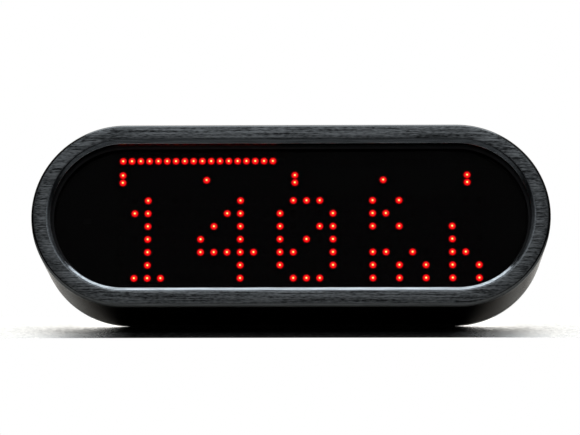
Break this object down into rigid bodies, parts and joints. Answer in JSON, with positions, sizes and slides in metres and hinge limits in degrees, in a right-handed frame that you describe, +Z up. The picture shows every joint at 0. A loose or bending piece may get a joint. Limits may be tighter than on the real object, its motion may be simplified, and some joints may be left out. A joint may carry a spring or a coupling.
{
  "type": "LED dot-matrix speedometer",
  "caption": "Pill-shaped motorcycle speedometer in a brushed black housing, with a red LED dot display behind a recessed dark window.",
  "frame": {"origin": "middle of the flat underside of the housing, halfway from the front face to the rear cover's outer face", "axes": "+X to the reader's right along the housing, -Y out of the display's front, +Z up; the window is upright"},
  "size_m": [0.1364, 0.049, 0.049],
  "materials": {
    "black_anodised": "black anodised, brushed front, satin sides",
    "smoked_window": "gloss, smoked",
    "black_rubber": "matte",
    "red_led": "lit red chip LEDs",
    "circuit_board": "solder mask",
    "chip_plastic": "moulded",
    "bright_steel": "bright",
    "black_plastic": "moulded"
  },
  "bodies": {
    "instrument": {"board_frame": "black_plastic", "board_header": "black_plastic", "board_spacer_1": "bright_steel", "board_spacer_2": "bright_steel", "board_spacer_3": "bright_steel", "board_spacer_4": "bright_steel", "button_seal": "black_rubber", "button_switch": "chip_plastic", "capacitor_1": "bright_steel", "capacitor_2": "bright_steel", "cover_screw_1": "bright_steel", "cover_screw_2": "bright_steel", "cover_screw_3": "bright_steel", "cover_screw_4": "bright_steel", "cover_screw_5": "bright_steel", "cover_screw_6": "bright_steel", "cover_seal": "black_rubber", "crystal": "bright_steel", "housing": "black_anodised", "led_board": "circuit_board", "led_driver_1": "chip_plastic", "led_driver_2": "chip_plastic", "led_driver_3": "chip_plastic", "light_sensor": "chip_plastic", "logic_board": "circuit_board", "matrix_row_1": "red_led", "matrix_row_2": "red_led", "matrix_row_3": "red_led", "matrix_row_4": "red_led", "matrix_row_5": "red_led", "matrix_row_6": "red_led", "matrix_row_7": "red_led", "microcontroller": "chip_plastic", "mount_buffer_left": "black_rubber", "mount_buffer_right": "black_rubber", "mount_stud_left": "bright_steel", "mount_stud_right": "bright_steel", "power_inductor": "chip_plastic", "rear_cover": "black_anodised", "rev_bar_leds": "red_led", "scale_led_1": "red_led", "scale_led_2": "red_led", "scale_led_3": "red_led", "scale_led_4": "red_led", "scale_led_5": "red_led", "socket_insert": "black_plastic", "socket_nut": "bright_steel", "socket_seal": "black_rubber", "socket_shell": "bright_steel", "stud_nut_left": "bright_steel", "stud_nut_right": "bright_steel", "stud_washer_left": "bright_steel", "stud_washer_right": "bright_steel", "voltage_regulator": "chip_plastic", "window_gasket": "black_rubber", "window_lens": "smoked_window"},
    "button": {"mode_button": "black_rubber", "switch_stem": "black_plastic"}
  },
  "joints": [
    {"name": "button_press", "type": "slide", "parent": "instrument", "child": "button", "axis": [0, -1, 0], "range_m": [0, 0.0008], "stiffness_N_per_m": 1500, "springref_m": -0.0005}
  ]
}
